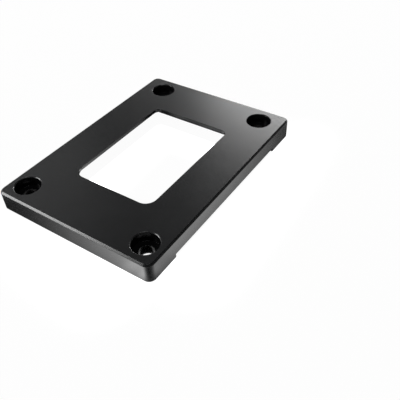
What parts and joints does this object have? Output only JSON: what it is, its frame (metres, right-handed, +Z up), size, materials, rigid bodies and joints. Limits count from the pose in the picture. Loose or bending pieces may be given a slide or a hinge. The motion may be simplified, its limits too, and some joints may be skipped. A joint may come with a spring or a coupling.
{
  "type": "cpu socket retention frame",
  "caption": "Flat milled frame that clamps a processor in its socket: rectangular window with a thin pressure lip, stepped underside and counterbored screw holes.",
  "frame": {"origin": "on the board, at the middle of the frame's outline, level with the undersides of its two feet", "axes": "+Z up out of the board, X across the short sides, Y along the long sides with the wider pair of screws at -Y"},
  "size_m": [0.051, 0.0702, 0.0058],
  "materials": {
    "retention_frame": "blasted and black anodised, satin"
  },
  "bodies": {
    "root": {"retention_frame": "retention_frame"}
  },
  "joints": []
}
